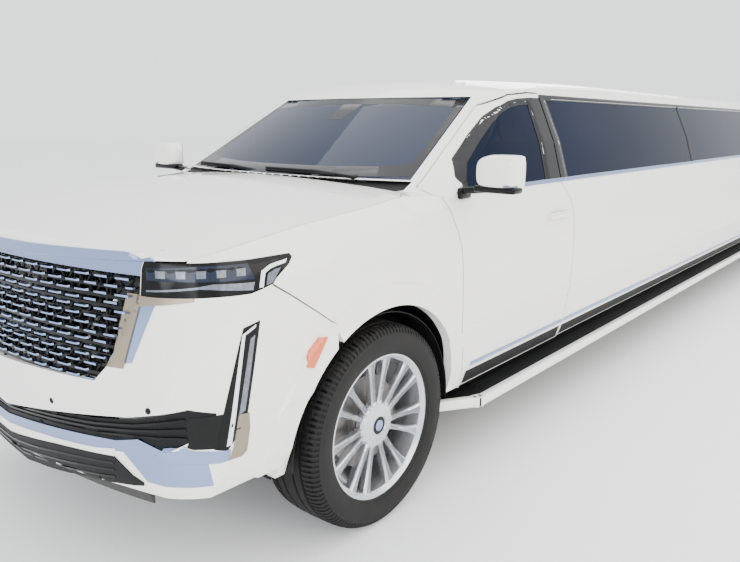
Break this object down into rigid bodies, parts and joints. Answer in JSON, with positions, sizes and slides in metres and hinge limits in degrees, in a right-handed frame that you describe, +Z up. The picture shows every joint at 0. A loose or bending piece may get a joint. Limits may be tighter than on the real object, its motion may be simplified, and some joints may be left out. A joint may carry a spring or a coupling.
{
  "type": "stretch limousine",
  "caption": "Stretched full-size sport utility limousine with four doors, lifting bonnet and tailgate, steering front wheels and a long saloon with side windows.",
  "frame": {"origin": "on the ground under the middle of the vehicle's length and width", "axes": "+X to the vehicle's left, +Y to its rear, +Z up"},
  "size_m": [2.504, 10.461, 1.8778],
  "materials": {
    "white_paint": "gloss",
    "gloss_black": "gloss",
    "textured_black": "matt",
    "bright_trim": "polished",
    "dark_glass": "tinted",
    "lamp_lens": "clear",
    "red_lens": "gloss",
    "frame_black": "satin",
    "bare_iron": "as cast",
    "cast_alloy": "satin",
    "machined_alloy": "bright",
    "tyre_rubber": "matt",
    "trim_leather": "satin",
    "cabin_trim": "matt",
    "tank_plastic": "matt"
  },
  "bodies": {
    "shell": {"frame_rails": "frame_black", "floor_pan": "frame_black", "arch_liners": "textured_black", "engine_block": "cast_alloy", "front_suspension": "frame_black", "rear_axle": "bare_iron", "driveline": "bare_iron", "fuel_tank": "tank_plastic", "running_boards": "textured_black", "body_side_left": "white_paint", "body_side_right": "white_paint", "roof": "white_paint", "cowl": "textured_black", "windscreen": "dark_glass", "side_glass": "dark_glass", "front_bumper": "white_paint", "grille": "gloss_black", "brightwork": "bright_trim", "lower_grille": "textured_black", "front_lamps": "lamp_lens", "rear_bumper": "white_paint", "tail_lamps": "red_lens", "dashboard": "cabin_trim", "front_seats": "trim_leather", "partition": "cabin_trim", "saloon_seats": "trim_leather", "bar_console": "cabin_trim", "wing_left": "white_paint", "wing_right": "white_paint"},
    "bonnet": {"bonnet": "white_paint"},
    "tailgate": {"tailgate": "white_paint", "tailgate_glass": "dark_glass"},
    "front_door_left": {"front_door_left": "white_paint", "front_door_glass_left": "dark_glass", "mirror_left": "white_paint"},
    "rear_door_left": {"rear_door_left": "white_paint", "rear_door_glass_left": "dark_glass"},
    "knuckle_left": {"knuckle_left": "bare_iron"},
    "front_wheel_left": {"front_rim_left": "machined_alloy", "front_tyre_left": "tyre_rubber"},
    "rear_wheel_left": {"rear_rim_left": "machined_alloy", "rear_tyre_left": "tyre_rubber"},
    "front_door_right": {"front_door_right": "white_paint", "front_door_glass_right": "dark_glass", "mirror_right": "white_paint"},
    "rear_door_right": {"rear_door_right": "white_paint", "rear_door_glass_right": "dark_glass"},
    "knuckle_right": {"knuckle_right": "bare_iron"},
    "front_wheel_right": {"front_rim_right": "machined_alloy", "front_tyre_right": "tyre_rubber"},
    "rear_wheel_right": {"rear_rim_right": "machined_alloy", "rear_tyre_right": "tyre_rubber"}
  },
  "joints": [
    {"name": "front_door_left_swing", "type": "hinge", "parent": "shell", "child": "front_door_left", "pos_m": [1.03, -3.7805, 1], "axis": [0, 0, -1], "range_deg": [0, 65]},
    {"name": "rear_door_left_swing", "type": "hinge", "parent": "shell", "child": "rear_door_left", "pos_m": [1.03, 2.4905, 1], "axis": [0, 0, -1], "range_deg": [0, 65]},
    {"name": "front_door_right_swing", "type": "hinge", "parent": "shell", "child": "front_door_right", "pos_m": [-1.03, -3.7805, 1], "axis": [0, 0, 1], "range_deg": [0, 65]},
    {"name": "rear_door_right_swing", "type": "hinge", "parent": "shell", "child": "rear_door_right", "pos_m": [-1.03, 2.4905, 1], "axis": [0, 0, 1], "range_deg": [0, 65]},
    {"name": "bonnet_lift", "type": "hinge", "parent": "shell", "child": "bonnet", "pos_m": [0, -3.8755, 1.3505], "axis": [-1, 0, 0], "range_deg": [0, 50]},
    {"name": "tailgate_lift", "type": "hinge", "parent": "shell", "child": "tailgate", "pos_m": [0, 5.01, 1.785], "axis": [1, 0, 0], "range_deg": [0, 85]},
    {"name": "steer_left", "type": "hinge", "parent": "shell", "child": "knuckle_left", "pos_m": [0.8, -4.2205, 0.417], "axis": [0, 0, 1], "range_deg": [-35, 35]},
    {"name": "front_spin_left", "type": "hinge", "parent": "knuckle_left", "child": "front_wheel_left", "pos_m": [0.87, -4.2205, 0.417], "axis": [1, 0, 0], "continuous": true},
    {"name": "rear_spin_left", "type": "hinge", "parent": "shell", "child": "rear_wheel_left", "pos_m": [0.87, 3.9305, 0.417], "axis": [1, 0, 0], "continuous": true},
    {"name": "steer_right", "type": "hinge", "parent": "shell", "child": "knuckle_right", "pos_m": [-0.8, -4.2205, 0.417], "axis": [0, 0, 1], "range_deg": [-35, 35]},
    {"name": "front_spin_right", "type": "hinge", "parent": "knuckle_right", "child": "front_wheel_right", "pos_m": [-0.87, -4.2205, 0.417], "axis": [1, 0, 0], "continuous": true},
    {"name": "rear_spin_right", "type": "hinge", "parent": "shell", "child": "rear_wheel_right", "pos_m": [-0.87, 3.9305, 0.417], "axis": [1, 0, 0], "continuous": true}
  ],
  "couplings": [
    {"joint": "steer_right", "follows": "steer_left", "ratio": 1}
  ]
}
